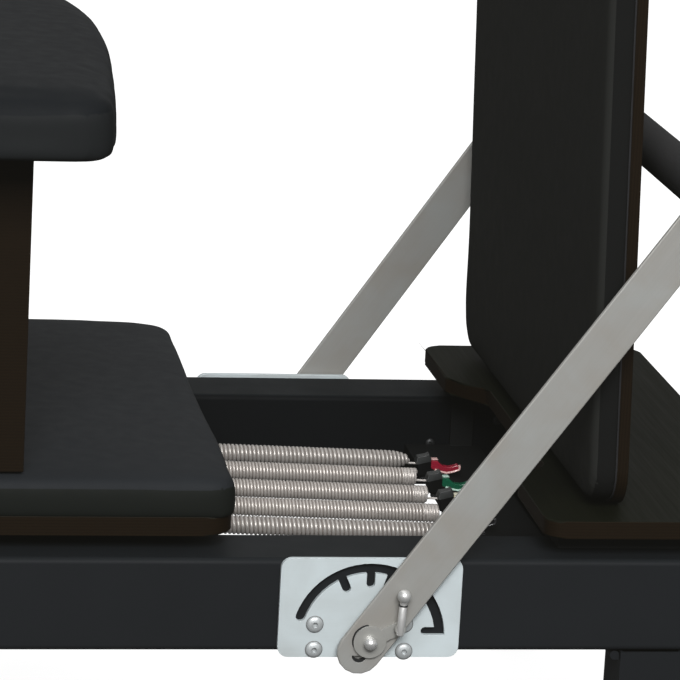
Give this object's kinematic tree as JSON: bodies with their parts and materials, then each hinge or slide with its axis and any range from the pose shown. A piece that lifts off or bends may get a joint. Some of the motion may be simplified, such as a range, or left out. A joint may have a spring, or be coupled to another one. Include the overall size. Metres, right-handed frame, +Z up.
{
  "type": "folding pilates reformer",
  "caption": "Folding exercise bed with a sprung sliding carriage, a lockable footbar, an upright padded jump board, a loose sitting box and three folding leg frames.",
  "frame": {"origin": "at floor level, under the middle of the bounding box", "axes": "+X along the rails towards the foot end, +Y across the frame towards the side farther from the picture's camera, +Z up"},
  "size_m": [2.364, 0.8, 0.992],
  "materials": {
    "black_frame": "satin",
    "black_steel": "satin",
    "stained_plywood": "satin",
    "black_vinyl": "satin",
    "brushed_steel": "satin",
    "plate_steel": "satin",
    "bright_chrome": "polished",
    "spring_steel": "satin",
    "black_plastic": "satin",
    "black_foam": "matte",
    "tag_red": "satin",
    "tag_green": "satin",
    "tag_yellow": "satin",
    "tag_black": "satin"
  },
  "bodies": {
    "foot_frame": {"foot_rail_near": "black_frame", "foot_rail_far": "black_frame", "foot_end_beam": "black_steel", "mid_beam": "black_steel", "spring_bar": "black_steel", "platform_board": "stained_plywood", "slot_plate_near": "plate_steel", "slot_plate_far": "plate_steel", "hinge_plate_near": "black_steel", "hinge_plate_far": "black_steel", "spring_1": "spring_steel", "spring_2": "spring_steel", "spring_3": "spring_steel", "spring_4": "spring_steel", "spring_5": "spring_steel", "spring_stem_1": "black_plastic", "spring_stem_2": "black_plastic", "spring_stem_3": "black_plastic", "spring_stem_4": "black_plastic", "spring_stem_5": "black_plastic", "spring_tag_1": "tag_red", "spring_tag_2": "tag_green", "spring_tag_3": "tag_yellow", "spring_tag_4": "tag_black", "spring_tag_5": "tag_black"},
    "head_frame": {"head_rail_near": "black_frame", "head_rail_far": "black_frame", "head_end_beam": "black_steel"},
    "foot_legs": {"foot_leg": "black_steel"},
    "mid_legs": {"mid_leg": "black_steel"},
    "head_legs": {"head_leg": "black_steel"},
    "carriage": {"carriage_base": "stained_plywood", "carriage_pad": "black_vinyl", "carriage_subframe": "black_frame", "shoulder_bracket_near": "black_steel", "shoulder_bracket_far": "black_steel", "shoulder_pad_near": "black_vinyl", "shoulder_pad_far": "black_vinyl"},
    "headrest": {"headrest_pad": "black_vinyl"},
    "wheel_1": {"track_wheel_1": "black_plastic"},
    "wheel_2": {"track_wheel_2": "black_plastic"},
    "wheel_3": {"track_wheel_3": "black_plastic"},
    "wheel_4": {"track_wheel_4": "black_plastic"},
    "footbar": {"footbar_arm_near": "brushed_steel", "footbar_arm_far": "brushed_steel", "footbar_tube": "brushed_steel", "footbar_foam": "black_foam", "pivot_bolt_near": "bright_chrome", "pivot_bolt_far": "bright_chrome"},
    "lock_lever_near": {"lock_lever_near": "bright_chrome"},
    "lock_lever_far": {"lock_lever_far": "bright_chrome"},
    "jump_board": {"jump_pad": "black_vinyl", "jump_panel": "stained_plywood"},
    "sitting_box": {"box_body": "stained_plywood", "box_pad": "black_vinyl"},
    "pulley_near": {"rope_pulley_near": "black_plastic"},
    "pulley_far": {"rope_pulley_far": "black_plastic"}
  },
  "joints": [
    {"name": "head_fold", "type": "hinge", "parent": "foot_frame", "child": "head_frame", "pos_m": [-0.282, 0, 0.306], "axis": [0, 1, 0], "range_deg": [0, 90]},
    {"name": "foot_leg_fold", "type": "hinge", "parent": "foot_frame", "child": "foot_legs", "pos_m": [1.0155, 0, 0.1965], "axis": [0, 1, 0], "range_deg": [0, 90]},
    {"name": "mid_leg_fold", "type": "hinge", "parent": "foot_frame", "child": "mid_legs", "pos_m": [-0.1675, 0, 0.1965], "axis": [0, -1, 0], "range_deg": [0, 90]},
    {"name": "head_leg_fold", "type": "hinge", "parent": "head_frame", "child": "head_legs", "pos_m": [-1.0675, 0, 0.1965], "axis": [0, -1, 0], "range_deg": [0, 90]},
    {"name": "carriage_slide", "type": "slide", "parent": "foot_frame", "child": "carriage", "axis": [1, 0, 0], "range_m": [-0.8, 0], "stiffness_N_per_m": 600, "springref_m": 0.03, "deforming": ["spring_1", "spring_2", "spring_3", "spring_4", "spring_5"]},
    {"name": "wheel_1_roll", "type": "hinge", "parent": "carriage", "child": "wheel_1", "pos_m": [0.558, -0.2345, 0.2323], "axis": [0, 1, 0], "range_deg": [-2120, 10]},
    {"name": "wheel_2_roll", "type": "hinge", "parent": "carriage", "child": "wheel_2", "pos_m": [0.558, 0.2345, 0.2323], "axis": [0, 1, 0], "range_deg": [-2120, 10]},
    {"name": "wheel_3_roll", "type": "hinge", "parent": "carriage", "child": "wheel_3", "pos_m": [-0.102, -0.2345, 0.2323], "axis": [0, 1, 0], "range_deg": [-2120, 10]},
    {"name": "wheel_4_roll", "type": "hinge", "parent": "carriage", "child": "wheel_4", "pos_m": [-0.102, 0.2345, 0.2323], "axis": [0, 1, 0], "range_deg": [-2120, 10]},
    {"name": "footbar_swing", "type": "hinge", "parent": "foot_frame", "child": "footbar", "pos_m": [0.776, 0, 0.217], "axis": [0, 1, 0], "range_deg": [0, 45]},
    {"name": "lock_lever_near_turn", "type": "hinge", "parent": "footbar", "child": "lock_lever_near", "pos_m": [0.803, -0.3532, 0.2305], "axis": [0, 1, 0], "range_deg": [0, 40]},
    {"name": "lock_lever_far_turn", "type": "hinge", "parent": "footbar", "child": "lock_lever_far", "pos_m": [0.803, 0.3532, 0.2305], "axis": [0, 1, 0], "range_deg": [0, 40]},
    {"name": "headrest_tilt", "type": "hinge", "parent": "carriage", "child": "headrest", "pos_m": [0.033, 0, 0.3263], "axis": [0, 1, 0], "range_deg": [0, 30]},
    {"name": "jump_board_lift", "type": "slide", "parent": "foot_frame", "child": "jump_board", "axis": [0, 0, 1], "range_m": [0, 0.1]},
    {"name": "sitting_box_lift", "type": "slide", "parent": "carriage", "child": "sitting_box", "axis": [0, 0, 1], "range_m": [0, 0.2]},
    {"name": "pulley_near_spin", "type": "hinge", "parent": "head_frame", "child": "pulley_near", "pos_m": [-1.152, -0.2145, 0.467], "axis": [0, 1, 0], "continuous": true},
    {"name": "pulley_far_spin", "type": "hinge", "parent": "head_frame", "child": "pulley_far", "pos_m": [-1.152, 0.2145, 0.467], "axis": [0, 1, 0], "continuous": true}
  ],
  "couplings": [
    {"joint": "wheel_1_roll", "follows": "carriage_slide", "rad_per_m": 46.083},
    {"joint": "wheel_2_roll", "follows": "carriage_slide", "rad_per_m": 46.083},
    {"joint": "wheel_3_roll", "follows": "carriage_slide", "rad_per_m": 46.083},
    {"joint": "wheel_4_roll", "follows": "carriage_slide", "rad_per_m": 46.083}
  ]
}
